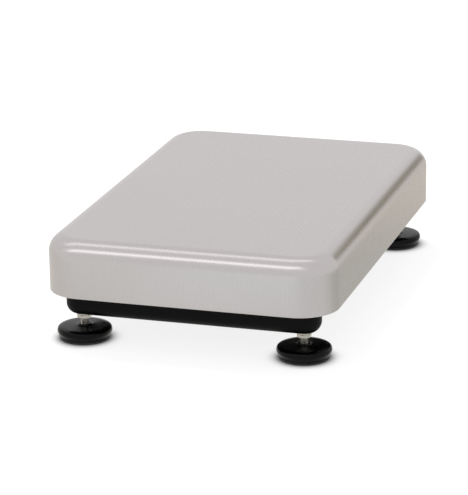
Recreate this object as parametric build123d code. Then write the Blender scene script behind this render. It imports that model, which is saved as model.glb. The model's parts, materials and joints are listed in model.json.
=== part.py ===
from build123d import *

import os
from math import cos, pi, sin, tan

# Weighing platform of a two-part bench scale: a drawn steel pan on a load frame, which stands on a
# single-point load cell in a pressed tray with four levelling feet.
# Millimetres, +Z up, front edge facing -Y. The origin is under the middle of the pan, on the floor.

# Pan
PAN_WIDTH = 300.0
PAN_LENGTH = 450.0
PAN_TOP = 110.0
PAN_SKIRT_BOTTOM = 52.0
PAN_CORNER_RADIUS = 40.0
PAN_EDGE_RADIUS = 18.0
PAN_SHEET = 1.5
PAN_UNDERSIDE = PAN_TOP - PAN_SHEET

# Tray, narrower between its front and rear heads, where the feet are
TRAY_WIDTH = 265.0
TRAY_LENGTH = 415.0
TRAY_WAIST_WIDTH = 227.0
TRAY_SHOULDER_Y = 176.5
TRAY_SHOULDER_ANGLE = 55.0
TRAY_SHOULDER_RADIUS = 26.0
TRAY_WAIST_RADIUS = 16.0
TRAY_BOTTOM = 27.0
TRAY_TOP = 84.0
TRAY_CORNER_RADIUS = 17.0
TRAY_EDGE_RADIUS = 11.0
TRAY_SHEET = 2.0
TRAY_FLOOR = TRAY_BOTTOM + TRAY_SHEET
TRAY_REAR_INSIDE = TRAY_LENGTH / 2 - TRAY_SHEET

# Metric screws
M8_RADIUS = 4.0
M8_CLEARANCE_RADIUS = 4.5
M8_HEAD_RADIUS = 6.5
M8_HEAD_HEIGHT = 8.0
M8_SOCKET_FLATS = 6.0
M8_NUT_FLATS = 13.0
M8_NUT_HEIGHT = 4.0
M6_RADIUS = 3.0
M6_HEAD_FLATS = 10.0
M6_HEAD_HEIGHT = 4.0
M6_NUT_HEIGHT = 5.0
RUNNING_CLEARANCE = 0.05

# Levelling feet, each a pad on an M8 stud with a washer and a lock nut under the tray
FOOT_X = 115.0
FOOT_Y = 190.0
FOOT_NAMES = {
    "front_left": (-FOOT_X, -FOOT_Y),
    "front_right": (FOOT_X, -FOOT_Y),
    "rear_left": (-FOOT_X, FOOT_Y),
    "rear_right": (FOOT_X, FOOT_Y),
}
PAD_RADIUS = 28.0
PAD_FOOT_RADIUS = 26.0
SOLE_THICKNESS = 2.0
SOLE_RADIUS = 25.6
PAD_RIM_TOP = 12.8
PAD_HUB_RADIUS = 7.0
PAD_HUB_TOP = 15.0
PAD_CONE_TOP = 13.8
STUD_HEAD_RADIUS = 7.0
STUD_HEAD_BOTTOM = 2.3
STUD_HEAD_TOP = 6.9
STUD_TOP = 62.0
POCKET_RADIUS = 7.2
POCKET_TOP = 7.1
WASHER_THICKNESS = 1.6
WASHER_RADIUS = 8.0
WASHER_HOLE_RADIUS = 4.2
BOSS_RADIUS = 6.5
BOSS_HEIGHT = 14.0

# Load cell, with its fixed end to the rear and its loaded end to the front
CELL_WIDTH = 40.0
CELL_LENGTH = 150.0
CELL_HEIGHT = 40.0
CELL_SPACER_LENGTH = 36.0
CELL_SPACER_HEIGHT = 6.0
CELL_PLATE_THICKNESS = 4.0
CELL_PLATE_WIDTH = 200.0
CELL_PLATE_LENGTH = 90.0
CELL_SCREW_OFFSETS = (50.0, 66.0)
CELL_THREAD_DEPTH = 16.0
CELL_BORE_RADIUS = 14.0
CELL_BORE_OFFSET = 20.0
CELL_SLOT_HEIGHT = 6.0
CELL_SEAL_THICKNESS = 1.2
CELL_BOTTOM = TRAY_FLOOR + CELL_PLATE_THICKNESS + CELL_SPACER_HEIGHT
CELL_TOP = CELL_BOTTOM + CELL_HEIGHT
SPACER_Y = CELL_LENGTH / 2 - CELL_SPACER_LENGTH / 2

# Load frame
FRAME_PLATE_BOTTOM = CELL_TOP + CELL_SPACER_HEIGHT
FRAME_PLATE_THICKNESS = 4.0
FRAME_PLATE_WIDTH = 70.0
FRAME_PLATE_LENGTH = 230.0
FRAME_BOTTOM = FRAME_PLATE_BOTTOM + FRAME_PLATE_THICKNESS
TUBE_WIDTH = 25.0
TUBE_HEIGHT = 15.0
TUBE_WALL = 1.5
FRAME_TOP = FRAME_BOTTOM + TUBE_HEIGHT
RAIL_X = 95.0
RAIL_LENGTH = 370.0
END_CAP_HEAD = 1.5
END_CAP_DEPTH = 7.0
ARM_Y = 100.0
CUSHION_Y = 165.0
CUSHION_RADIUS = 12.0
CUSHION_SPIGOT_RADIUS = 6.0
CUSHION_SPIGOT_LENGTH = 2.5
CUSHION_BORE_RADIUS = 3.5
PIN_RADIUS = 3.0
PIN_BOTTOM = 99.0

# Overload stops under the side rails
STOP_Y = 140.0
STOP_GAP = 0.5
STOP_PILLAR_RADIUS = 7.0
STOP_PILLAR_TOP = 72.0
STOP_HEAD_TOP = FRAME_BOTTOM - STOP_GAP
STOP_SCREW_BOTTOM = 57.0

# Bubble level on the tray's floor
LEVEL_X = 60.0
LEVEL_Y = -20.0
LEVEL_RADIUS = 13.0
LEVEL_HEIGHT = 11.0
LEVEL_FLOOR = 2.0
LEVEL_VIAL_RADIUS = 9.0
LEVEL_VIAL_WALL = 1.0
LEVEL_VIAL_HEIGHT = 8.5
LEVEL_EAR_X = 17.0
LEVEL_EAR_RADIUS = 4.5
LEVEL_EAR_THICKNESS = 2.5
M3_RADIUS = 1.5

# Socket for the indicator's plug, in the tray's rear wall
SOCKET_X = -70.0
SOCKET_Z = 45.0
SOCKET_THREAD_RADIUS = 4.0
SOCKET_NOSE_LENGTH = 8.0
SOCKET_CAVITY_RADIUS = 3.0
SOCKET_CAVITY_DEPTH = 7.0
SOCKET_FLANGE_RADIUS = 6.5
SOCKET_FLANGE_THICKNESS = 2.0
SOCKET_GASKET_THICKNESS = 1.0
SOCKET_BODY_RADIUS = 4.5
SOCKET_HOLE_RADIUS = 4.6
SOCKET_BACK_LENGTH = 10.0
SOCKET_NUT_FLATS = 12.0
SOCKET_NUT_THICKNESS = 3.0
SOCKET_BOOT_LENGTH = 10.0
SOCKET_BOOT_END_RADIUS = 3.4
SOCKET_INSERT_THICKNESS = 4.0
SOCKET_PIN_RADIUS = 0.4
SOCKET_PIN_LENGTH = 5.0
SOCKET_PIN_CIRCLE = 1.5
SOCKET_PIN_COUNT = 4

# Lead from the load cell to the socket
LEAD_RADIUS = 2.5
LEAD_OUTLET_RADIUS = 4.5
LEAD_OUTLET_LENGTH = 7.0
LEAD_OUTLET_Z = 50.0
LEAD_FLOOR_Z = 32.0
LEAD_ROUTE = [
    (0.0, CELL_LENGTH / 2, LEAD_OUTLET_Z),
    (0.0, 101.0, LEAD_OUTLET_Z),
    (-7.0, 123.0, 38.0),
    (-25.0, 143.0, LEAD_FLOOR_Z),
    (-49.0, 155.0, LEAD_FLOOR_Z),
    (-66.0, 169.0, 40.0),
    (SOCKET_X, 191.0, SOCKET_Z),
]
LEAD_ARC_SHARE = 0.45
CLIP_LENGTH = 8.0
CLIP_RUN = 3


def slab(width, length, bottom, top, corner=0.0):
    """Upright block centred on the Z axis, with rounded vertical corners."""
    outline = RectangleRounded(width, length, corner) if corner else Rectangle(width, length)
    return Pos(0, 0, bottom) * extrude(outline, top - bottom)


def rod(radius, bottom, top, x=0.0, y=0.0):
    return Pos(x, y, bottom) * extrude(Circle(radius), top - bottom)


def ring(outer, inner, bottom, top, x=0.0, y=0.0):
    return rod(outer, bottom, top, x, y) - rod(inner, bottom, top, x, y)


def hexagon(flats, bottom, top, x=0.0, y=0.0):
    """Hexagonal prism, given its width across flats, with its corners turned off at both ends."""
    blank = Pos(x, y, bottom) * extrude(RegularPolygon(flats / 2, 6, major_radius=False), top - bottom)
    turned = rod(flats / 2 / cos(pi / 6) * 1.001, bottom, top, x, y)
    return blank & chamfer(turned.edges(), flats * 0.06)


def along_y(shape, x, z):
    """Turns a shape built up the Z axis so that it runs along +Y, at the given x and z."""
    return Pos(x, 0, z) * Rot(-90, 0, 0) * shape


def four_corners(x, y):
    return [(-x, -y), (x, -y), (-x, y), (x, y)]


def bent_edge(body, end, radius):
    """Rounds a block all round its upper or lower end."""
    face = body.faces().sort_by(Axis.Z)[-1 if end == "upper" else 0]
    return fillet(face.edges(), radius)


def pan_block(inset, top):
    """The pan's outline moved in by an inset, with the bend round its top."""
    body = slab(
        PAN_WIDTH - 2 * inset, PAN_LENGTH - 2 * inset, PAN_SKIRT_BOTTOM, top, PAN_CORNER_RADIUS - inset
    )
    return bent_edge(body, "upper", PAN_EDGE_RADIUS - inset)


def make_pan():
    return pan_block(0, PAN_TOP) - pan_block(PAN_SHEET, PAN_UNDERSIDE)


def make_locating_pins():
    """Studs welded under the pan, which drop into the cushions."""
    return [rod(PIN_RADIUS, PIN_BOTTOM, PAN_UNDERSIDE, x, y) for x, y in four_corners(RAIL_X, CUSHION_Y)]


def make_cushion(x, y):
    body = rod(CUSHION_RADIUS, FRAME_TOP, PAN_UNDERSIDE, x, y)
    body = fillet(body.faces().sort_by(Axis.Z)[-1].edges(), 1.0)
    body += rod(CUSHION_SPIGOT_RADIUS, FRAME_TOP - CUSHION_SPIGOT_LENGTH, FRAME_TOP, x, y)
    return body - rod(CUSHION_BORE_RADIUS, FRAME_BOTTOM, PAN_TOP, x, y)


def square_tube(length_x, length_y):
    """Rectangular tube lying along its longer side, with open ends."""
    outer = slab(length_x, length_y, FRAME_BOTTOM, FRAME_TOP)
    lengthways = Axis.X if length_x > length_y else Axis.Y
    outer = fillet(outer.edges().filter_by(lengthways), 2.5)
    inner_x = length_x if length_x > length_y else length_x - 2 * TUBE_WALL
    inner_y = length_y if length_y > length_x else length_y - 2 * TUBE_WALL
    inner = slab(inner_x, inner_y, FRAME_BOTTOM + TUBE_WALL, FRAME_TOP - TUBE_WALL)
    return outer - fillet(inner.edges().filter_by(lengthways), 1.0)


def make_side_rails():
    rails = []
    for side in (-1, 1):
        rail = Pos(side * RAIL_X, 0, 0) * square_tube(TUBE_WIDTH, RAIL_LENGTH)
        for end in (-1, 1):
            rail -= rod(
                CUSHION_SPIGOT_RADIUS, FRAME_TOP - 2 * TUBE_WALL, FRAME_TOP, side * RAIL_X, end * CUSHION_Y
            )
        rails.append(rail)
    return rails


def make_rail_end_caps():
    """Push-in plugs that close the four open ends of the side rails."""
    caps = []
    for side in (-1, 1):
        for end in (-1, 1):
            head_y = end * (RAIL_LENGTH + END_CAP_HEAD) / 2
            head = slab(TUBE_WIDTH, END_CAP_HEAD, FRAME_BOTTOM, FRAME_TOP)
            head = fillet(head.edges().filter_by(Axis.Y), 2.5)
            inset = TUBE_WALL + 0.1
            plug_y = end * (RAIL_LENGTH - END_CAP_DEPTH) / 2
            plug = slab(TUBE_WIDTH - 2 * inset, END_CAP_DEPTH, FRAME_BOTTOM + inset, FRAME_TOP - inset)
            plug = fillet(plug.edges().filter_by(Axis.Y), 1.2)
            caps.append(Pos(side * RAIL_X, head_y, 0) * head + Pos(side * RAIL_X, plug_y, 0) * plug)
    return caps


def make_cross_arms():
    arm = square_tube(2 * RAIL_X - TUBE_WIDTH, TUBE_WIDTH)
    return [Pos(0, side * ARM_Y, 0) * arm for side in (-1, 1)]


def make_frame_plate():
    plate = slab(FRAME_PLATE_WIDTH, FRAME_PLATE_LENGTH, FRAME_PLATE_BOTTOM, FRAME_BOTTOM, 6.0)
    for offset in CELL_SCREW_OFFSETS:
        plate -= rod(M8_CLEARANCE_RADIUS, FRAME_PLATE_BOTTOM, FRAME_BOTTOM, 0, -offset)
    return plate


def make_spacer(bottom, side):
    """Block between the load cell's end and the plate it is screwed to."""
    block = slab(CELL_WIDTH, CELL_SPACER_LENGTH, bottom, bottom + CELL_SPACER_HEIGHT, 1.0)
    block = Pos(0, side * SPACER_Y, 0) * block
    for offset in CELL_SCREW_OFFSETS:
        block -= rod(M8_CLEARANCE_RADIUS, bottom, bottom + CELL_SPACER_HEIGHT, 0, side * offset)
    return block


def make_load_cell():
    """Aluminium bar with two cross bores joined by a slot, which leave four thin flexures."""
    middle = (CELL_BOTTOM + CELL_TOP) / 2
    bar = slab(CELL_WIDTH, CELL_LENGTH, CELL_BOTTOM, CELL_TOP)
    bar = chamfer(bar.edges(), 0.6)
    for side in (-1, 1):
        bore = Pos(0, side * CELL_BORE_OFFSET, middle) * Rot(0, 90, 0)
        bar -= bore * Cylinder(CELL_BORE_RADIUS, CELL_WIDTH)
    bar -= Pos(0, 0, middle) * Box(CELL_WIDTH, 2 * CELL_BORE_OFFSET, CELL_SLOT_HEIGHT)
    hole = M8_RADIUS + RUNNING_CLEARANCE
    for offset in CELL_SCREW_OFFSETS:
        bar -= rod(hole, CELL_TOP - CELL_THREAD_DEPTH, CELL_TOP, 0, -offset)
        bar -= rod(hole, CELL_BOTTOM, CELL_BOTTOM + CELL_THREAD_DEPTH, 0, offset)
    return bar


def make_cell_seals():
    """Silicone pads over the strain gauges, above and below the flexures."""
    length = 2 * (CELL_BORE_OFFSET + 4)
    top = slab(CELL_WIDTH - 6, length, CELL_TOP, CELL_TOP + CELL_SEAL_THICKNESS, 4.0)
    bottom = slab(CELL_WIDTH - 6, length, CELL_BOTTOM - CELL_SEAL_THICKNESS, CELL_BOTTOM, 4.0)
    return [top, bottom]


def cap_screw(x, y, length, depth_below_head):
    """M8 socket head screw pointing down, with the seat of its head at z = 0."""
    screw = rod(M8_RADIUS, -length, 0, x, y)
    head = rod(M8_HEAD_RADIUS, 0, M8_HEAD_HEIGHT, x, y)
    head = fillet(head.faces().sort_by(Axis.Z)[-1].edges(), 0.8)
    socket_floor = M8_HEAD_HEIGHT - depth_below_head
    return screw + head - hexagon(M8_SOCKET_FLATS, socket_floor, M8_HEAD_HEIGHT + 1, x, y)


def make_upper_screws():
    length = CELL_THREAD_DEPTH - 2 + CELL_SPACER_HEIGHT + FRAME_PLATE_THICKNESS
    screws = [cap_screw(0, -offset, length, 4.0) for offset in CELL_SCREW_OFFSETS]
    return [Pos(0, 0, FRAME_BOTTOM) * screw for screw in screws]


def make_lower_screws():
    length = CELL_THREAD_DEPTH - 2 + CELL_SPACER_HEIGHT + CELL_PLATE_THICKNESS + TRAY_SHEET
    screws = [cap_screw(0, -offset, length, 4.0) for offset in CELL_SCREW_OFFSETS]
    return [Pos(0, 0, TRAY_BOTTOM) * Rot(180, 0, 0) * screw for screw in screws]


def make_cell_plate():
    """Plate welded to the tray's floor under the load cell's fixed end."""
    plate = slab(CELL_PLATE_WIDTH, CELL_PLATE_LENGTH, TRAY_FLOOR, TRAY_FLOOR + CELL_PLATE_THICKNESS, 5.0)
    plate = Pos(0, SPACER_Y, 0) * plate
    for offset in CELL_SCREW_OFFSETS:
        plate -= rod(M8_CLEARANCE_RADIUS, TRAY_FLOOR, TRAY_FLOOR + CELL_PLATE_THICKNESS, 0, offset)
    return plate


def tray_outline(inset):
    """Rounded rectangle, drawn in at both sides between the shoulders behind the feet."""
    turn = TRAY_SHOULDER_ANGLE * pi / 180
    head, waist, end = TRAY_WIDTH / 2, TRAY_WAIST_WIDTH / 2, TRAY_LENGTH / 2
    shoulder_y = TRAY_SHOULDER_Y + inset * tan(turn / 2)
    waist_y = shoulder_y - (head - waist) / tan(turn)
    quarter = [
        (head - inset, end - inset, TRAY_CORNER_RADIUS - inset),
        (head - inset, shoulder_y, TRAY_SHOULDER_RADIUS - inset),
        (waist - inset, waist_y, TRAY_WAIST_RADIUS + inset),
    ]
    right = quarter + [(x, -y, radius) for x, y, radius in reversed(quarter)]
    corners = right + [(-x, y, radius) for x, y, radius in reversed(right)]
    outline = make_face(Polyline(*[(x, y) for x, y, _ in corners], close=True))
    for x, y, radius in corners:
        vertex = outline.vertices().sort_by_distance((x, y, 0))[0]
        outline = fillet(vertex, radius)
    return outline


def tray_block(inset, bottom):
    """The tray's outline moved in by an inset, with the bend round its bottom."""
    body = Pos(0, 0, bottom) * extrude(tray_outline(inset), TRAY_TOP - bottom)
    return bent_edge(body, "lower", TRAY_EDGE_RADIUS - inset)


def make_tray():
    tray = tray_block(0, TRAY_BOTTOM) - tray_block(TRAY_SHEET, TRAY_FLOOR)
    for x, y in FOOT_NAMES.values():
        tray -= rod(M8_CLEARANCE_RADIUS, TRAY_BOTTOM, TRAY_FLOOR, x, y)
    for offset in CELL_SCREW_OFFSETS:
        tray -= rod(M8_CLEARANCE_RADIUS, TRAY_BOTTOM, TRAY_FLOOR, 0, offset)
    wall = (TRAY_REAR_INSIDE - 1, TRAY_LENGTH / 2 + 1)
    return tray - along_y(rod(SOCKET_HOLE_RADIUS, *wall), SOCKET_X, SOCKET_Z)


def make_foot_bosses():
    """Threaded bushes welded inside the tray, which the feet screw into."""
    bore = M8_RADIUS + RUNNING_CLEARANCE
    top = TRAY_FLOOR + BOSS_HEIGHT
    return [ring(BOSS_RADIUS, bore, TRAY_FLOOR, top, x, y) for x, y in FOOT_NAMES.values()]


def make_foot_pad(x, y):
    """Moulded pad: tapered rim, shallow cone on top, and a hub round the stud."""
    bore = M8_RADIUS + RUNNING_CLEARANCE
    profile = Polyline(
        (POCKET_RADIUS, SOLE_THICKNESS),
        (PAD_FOOT_RADIUS, SOLE_THICKNESS),
        (PAD_RADIUS, PAD_RIM_TOP - 3.0),
        (PAD_RADIUS, PAD_RIM_TOP),
        (PAD_HUB_RADIUS, PAD_CONE_TOP),
        (PAD_HUB_RADIUS, PAD_HUB_TOP),
        (bore, PAD_HUB_TOP),
        (bore, POCKET_TOP),
        (POCKET_RADIUS, POCKET_TOP),
        close=True,
    )
    pad = revolve(Plane.XZ * make_face(profile), Axis.Z)
    rim = [
        edge
        for edge in pad.edges().filter_by(GeomType.CIRCLE)
        if abs(edge.radius - PAD_RADIUS) < 0.01 and abs(edge.center().Z - PAD_RIM_TOP) < 0.01
    ]
    return Pos(x, y, 0) * fillet(rim, 1.5)


def make_foot_sole(x, y):
    sole = rod(SOLE_RADIUS, 0, SOLE_THICKNESS, x, y)
    return chamfer(sole.faces().sort_by(Axis.Z)[0].edges(), 0.5)


def make_foot_stud(x, y):
    """Stud with a round head held in the pad, so that it turns while the pad stands still."""
    shank = rod(M8_RADIUS, STUD_HEAD_TOP, STUD_TOP, x, y)
    shank = chamfer(shank.faces().sort_by(Axis.Z)[-1].edges(), 1.0)
    return shank + rod(STUD_HEAD_RADIUS, STUD_HEAD_BOTTOM, STUD_HEAD_TOP, x, y)


def make_foot_washer(x, y):
    return ring(WASHER_RADIUS, WASHER_HOLE_RADIUS, TRAY_BOTTOM - WASHER_THICKNESS, TRAY_BOTTOM, x, y)


def make_foot_nut(x, y):
    top = TRAY_BOTTOM - WASHER_THICKNESS
    nut = hexagon(M8_NUT_FLATS, top - M8_NUT_HEIGHT, top, x, y)
    return nut - rod(M8_RADIUS + RUNNING_CLEARANCE, top - M8_NUT_HEIGHT, top, x, y)


def make_stop_pillars():
    pillars = []
    for x, y in four_corners(RAIL_X, STOP_Y):
        pillar = rod(STOP_PILLAR_RADIUS, TRAY_FLOOR, STOP_PILLAR_TOP, x, y)
        pillars.append(pillar - rod(M6_RADIUS, STOP_SCREW_BOTTOM - 3, STOP_PILLAR_TOP, x, y))
    return pillars


def make_stop_screws():
    """Hexagon screws whose heads stand just under the load frame's rails."""
    screws = []
    for x, y in four_corners(RAIL_X, STOP_Y):
        head_bottom = STOP_HEAD_TOP - M6_HEAD_HEIGHT
        shank = rod(M6_RADIUS, STOP_SCREW_BOTTOM, head_bottom, x, y)
        screws.append(shank + hexagon(M6_HEAD_FLATS, head_bottom, STOP_HEAD_TOP, x, y))
    return screws


def make_stop_nuts():
    top = STOP_PILLAR_TOP + M6_NUT_HEIGHT
    nuts = []
    for x, y in four_corners(RAIL_X, STOP_Y):
        nut = hexagon(M6_HEAD_FLATS, STOP_PILLAR_TOP, top, x, y)
        nuts.append(nut - rod(M6_RADIUS, STOP_PILLAR_TOP, top, x, y))
    return nuts


def make_level_housing():
    top = TRAY_FLOOR + LEVEL_HEIGHT
    housing = rod(LEVEL_RADIUS, TRAY_FLOOR, top, LEVEL_X, LEVEL_Y)
    housing = chamfer(housing.faces().sort_by(Axis.Z)[-1].edges(), 1.0)
    for side in (-1, 1):
        ear_x = LEVEL_X + side * LEVEL_EAR_X
        ear = rod(LEVEL_EAR_RADIUS, TRAY_FLOOR, TRAY_FLOOR + LEVEL_EAR_THICKNESS, ear_x, LEVEL_Y)
        housing += ear - rod(M3_RADIUS, TRAY_FLOOR, top, ear_x, LEVEL_Y)
    return housing - rod(LEVEL_VIAL_RADIUS, TRAY_FLOOR + LEVEL_FLOOR, top, LEVEL_X, LEVEL_Y)


def level_cavity():
    bottom = TRAY_FLOOR + LEVEL_FLOOR + LEVEL_VIAL_WALL
    top = TRAY_FLOOR + LEVEL_FLOOR + LEVEL_VIAL_HEIGHT - LEVEL_VIAL_WALL
    return rod(LEVEL_VIAL_RADIUS - LEVEL_VIAL_WALL, bottom, top, LEVEL_X, LEVEL_Y)


def make_level_vial():
    bottom = TRAY_FLOOR + LEVEL_FLOOR
    return rod(LEVEL_VIAL_RADIUS, bottom, bottom + LEVEL_VIAL_HEIGHT, LEVEL_X, LEVEL_Y) - level_cavity()


def make_level_liquid():
    """Liquid that fills the vial but for a round bubble under its lid."""
    lid = TRAY_FLOOR + LEVEL_FLOOR + LEVEL_VIAL_HEIGHT - LEVEL_VIAL_WALL
    bubble = Pos(LEVEL_X, LEVEL_Y, lid + 0.6) * Sphere(2.4)
    return level_cavity() - bubble


def make_level_screws():
    screws = []
    for side in (-1, 1):
        ear_x = LEVEL_X + side * LEVEL_EAR_X
        seat = TRAY_FLOOR + LEVEL_EAR_THICKNESS
        head = rod(2.8, seat, seat + 1.8, ear_x, LEVEL_Y)
        head = fillet(head.faces().sort_by(Axis.Z)[-1].edges(), 0.8)
        screws.append(head + rod(M3_RADIUS, TRAY_FLOOR, seat, ear_x, LEVEL_Y))
    return screws


# Stations of the socket along Y, from the wall's outer face outwards and from its inner face inwards
WALL_OUTSIDE = TRAY_LENGTH / 2
GASKET_END = WALL_OUTSIDE + SOCKET_GASKET_THICKNESS
FLANGE_END = GASKET_END + SOCKET_FLANGE_THICKNESS
NOSE_END = FLANGE_END + SOCKET_NOSE_LENGTH
CAVITY_FLOOR = NOSE_END - SOCKET_CAVITY_DEPTH
BODY_BACK = TRAY_REAR_INSIDE - SOCKET_BACK_LENGTH
BOOT_BACK = BODY_BACK - SOCKET_BOOT_LENGTH


def make_socket_body():
    body = rod(SOCKET_BODY_RADIUS, BODY_BACK, GASKET_END)
    body += rod(SOCKET_FLANGE_RADIUS, GASKET_END, FLANGE_END)
    body += rod(SOCKET_THREAD_RADIUS, FLANGE_END, NOSE_END)
    body -= rod(SOCKET_CAVITY_RADIUS, CAVITY_FLOOR - SOCKET_INSERT_THICKNESS, NOSE_END)
    return along_y(body, SOCKET_X, SOCKET_Z)


def make_socket_gasket():
    gasket = ring(SOCKET_FLANGE_RADIUS, SOCKET_HOLE_RADIUS, WALL_OUTSIDE, GASKET_END)
    return along_y(gasket, SOCKET_X, SOCKET_Z)


def pin_places():
    step = 2 * pi / SOCKET_PIN_COUNT
    angles = [step * number for number in range(SOCKET_PIN_COUNT)]
    return [(SOCKET_PIN_CIRCLE * sin(a), SOCKET_PIN_CIRCLE * cos(a)) for a in angles]


def make_socket_insert():
    insert = rod(SOCKET_CAVITY_RADIUS, CAVITY_FLOOR - SOCKET_INSERT_THICKNESS, CAVITY_FLOOR)
    for x, y in pin_places():
        insert -= rod(SOCKET_PIN_RADIUS, CAVITY_FLOOR - 2, CAVITY_FLOOR, x, y)
    return along_y(insert, SOCKET_X, SOCKET_Z)


def make_socket_pins():
    top = CAVITY_FLOOR + SOCKET_PIN_LENGTH
    pins = [rod(SOCKET_PIN_RADIUS, CAVITY_FLOOR - 2, top, x, y) for x, y in pin_places()]
    return [along_y(pin, SOCKET_X, SOCKET_Z) for pin in pins]


def make_socket_nut():
    nut_back = TRAY_REAR_INSIDE - SOCKET_NUT_THICKNESS
    nut = hexagon(SOCKET_NUT_FLATS, nut_back, TRAY_REAR_INSIDE)
    nut -= rod(SOCKET_BODY_RADIUS, nut_back, TRAY_REAR_INSIDE)
    return along_y(nut, SOCKET_X, SOCKET_Z)


def make_socket_boot():
    """Rubber boot on the back of the socket, with the lead's end in it."""
    cone = Cone(SOCKET_BOOT_END_RADIUS, SOCKET_BODY_RADIUS, SOCKET_BOOT_LENGTH)
    cone = Pos(0, 0, BOOT_BACK + SOCKET_BOOT_LENGTH / 2) * cone
    return along_y(cone, SOCKET_X, SOCKET_Z) - make_lead()


def lead_radii():
    """Largest arc for each corner of the lead's route that its two runs leave room for."""
    points = [Vector(*point) for point in LEAD_ROUTE]
    radii = []
    for before, corner, after in zip(points, points[1:], points[2:]):
        arriving = corner - before
        leaving = after - corner
        turn = arriving.get_angle(leaving) * pi / 180
        radii.append(LEAD_ARC_SHARE * min(arriving.length, leaving.length) / tan(turn / 2))
    return radii


def make_lead():
    path = FilletPolyline(*LEAD_ROUTE, radius=lead_radii())
    start = Plane(origin=path @ 0, z_dir=path % 0)
    return sweep(start * Circle(LEAD_RADIUS), path=path)


def make_lead_outlet():
    """Sleeve round the lead where it leaves the load cell's fixed end."""
    sleeve = rod(LEAD_OUTLET_RADIUS, CELL_LENGTH / 2, CELL_LENGTH / 2 + LEAD_OUTLET_LENGTH)
    return along_y(sleeve, 0, LEAD_OUTLET_Z) - make_lead()


def clip_place():
    """Middle of the lead's run along the tray's floor, and the run's angle in plan."""
    start = Vector(*LEAD_ROUTE[CLIP_RUN])
    end = Vector(*LEAD_ROUTE[CLIP_RUN + 1])
    heading = Vector(1, 0, 0).get_angle(end - start)
    return Pos((start + end) * 0.5) * Rot(0, 0, heading)


def make_lead_clip():
    """Saddle clip: a block over the lead, and a screw tab beside it."""
    height = LEAD_RADIUS + 1.5
    drop = LEAD_FLOOR_Z - TRAY_FLOOR
    saddle = Pos(0, 0, (height - drop) / 2) * Box(CLIP_LENGTH, 2 * height, height + drop)
    tab = Pos(0, 8, 1.0 - drop) * Box(CLIP_LENGTH, 9, 2.0)
    clip = saddle + tab - Pos(0, 8, -drop) * Cylinder(M3_RADIUS, 10)
    return clip_place() * clip - make_lead()


def make_clip_screw():
    drop = LEAD_FLOOR_Z - TRAY_FLOOR
    head = fillet(rod(2.8, 0, 1.8).faces().sort_by(Axis.Z)[-1].edges(), 0.8)
    screw = Pos(0, 0, 2.0) * head + rod(M3_RADIUS, 0, 2.0)
    return clip_place() * Pos(0, 8, -drop) * screw


def make_nodes():
    nodes = {
        "platter_pan": make_pan(),
        "platter_locating_pins": make_locating_pins(),
        "frame_side_rails": make_side_rails(),
        "frame_rail_end_caps": make_rail_end_caps(),
        "frame_cross_arms": make_cross_arms(),
        "frame_centre_plate": make_frame_plate(),
        "load_cell_upper_spacer": make_spacer(CELL_TOP, -1),
        "load_cell_upper_screws": make_upper_screws(),
        "load_cell": make_load_cell(),
        "load_cell_gauge_seals": make_cell_seals(),
        "load_cell_lower_spacer": make_spacer(CELL_BOTTOM - CELL_SPACER_HEIGHT, 1),
        "load_cell_lower_screws": make_lower_screws(),
        "load_cell_base_plate": make_cell_plate(),
        "load_cell_lead_outlet": make_lead_outlet(),
        "load_cell_lead": make_lead(),
        "lead_clip": make_lead_clip(),
        "lead_clip_screw": make_clip_screw(),
        "base_tray": make_tray(),
        "foot_bosses": make_foot_bosses(),
        "overload_stop_pillars": make_stop_pillars(),
        "overload_stop_screws": make_stop_screws(),
        "overload_stop_nuts": make_stop_nuts(),
        "level_housing": make_level_housing(),
        "level_vial": make_level_vial(),
        "level_liquid": make_level_liquid(),
        "level_screws": make_level_screws(),
        "socket_body": make_socket_body(),
        "socket_gasket": make_socket_gasket(),
        "socket_insert": make_socket_insert(),
        "socket_pins": make_socket_pins(),
        "socket_lock_nut": make_socket_nut(),
        "socket_boot": make_socket_boot(),
    }
    for name, (x, y) in FOOT_NAMES.items():
        cushion_x = RAIL_X if x > 0 else -RAIL_X
        cushion_y = CUSHION_Y if y > 0 else -CUSHION_Y
        nodes[f"platter_cushion_{name}"] = make_cushion(cushion_x, cushion_y)
        nodes[f"foot_pad_{name}"] = make_foot_pad(x, y)
        nodes[f"foot_sole_{name}"] = make_foot_sole(x, y)
        nodes[f"foot_stud_{name}"] = make_foot_stud(x, y)
        nodes[f"foot_washer_{name}"] = make_foot_washer(x, y)
        nodes[f"foot_lock_nut_{name}"] = make_foot_nut(x, y)
    return nodes


os.makedirs("parts", exist_ok=True)
for node, shape in make_nodes().items():
    solid = Compound(children=shape) if isinstance(shape, list) else shape
    export_step(solid, f"parts/{node}.step")

lead_path = FilletPolyline(*LEAD_ROUTE, radius=lead_radii())
lead_section = pi * LEAD_RADIUS**2
print("lead radii", [round(radius, 1) for radius in lead_radii()])
print("lead length", round(lead_path.length, 1), "volume", round(make_lead().volume))
print("section times length", round(lead_section * lead_path.length))
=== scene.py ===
import json
from math import asin, atan2, ceil, cos, pi, radians, sin, tan

import bmesh
import bpy
from mathutils import Matrix, Vector


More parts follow.
